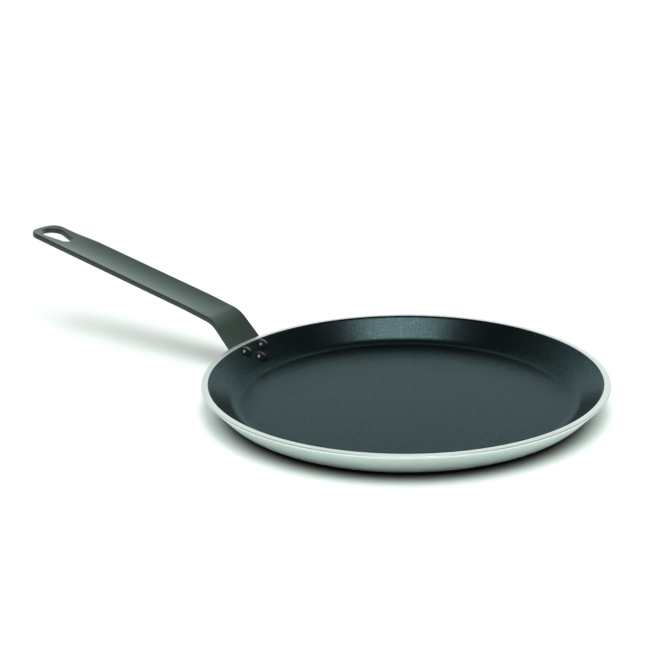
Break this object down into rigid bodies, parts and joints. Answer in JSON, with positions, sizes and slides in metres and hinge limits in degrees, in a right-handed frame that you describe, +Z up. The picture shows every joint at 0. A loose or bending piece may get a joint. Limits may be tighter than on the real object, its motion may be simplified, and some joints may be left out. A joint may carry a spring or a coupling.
{
  "type": "crepe pan",
  "caption": "Shallow round crepe pan with flared low walls, a flat turned rim and a long bent strip handle with a hanging eye, riveted to the wall.",
  "frame": {"origin": "centre of the pan's flat base, on the surface that it stands on", "axes": "+Z up out of the pan, the handle points along -X, +Y to the side"},
  "size_m": [0.4582, 0.26, 0.0774],
  "materials": {
    "pan_aluminium": "satin, turned on the rim",
    "pan_coating": "sprayed dark grey non-stick coating, satin",
    "handle_finish": "dark grey epoxy on steel, satin",
    "rivet_finish": "dark coated steel, semi-gloss"
  },
  "bodies": {
    "root": {"pan_body": "pan_aluminium", "handle": "handle_finish", "rivet_upper_left": "rivet_finish", "rivet_upper_right": "rivet_finish", "rivet_lower": "rivet_finish"}
  },
  "joints": []
}
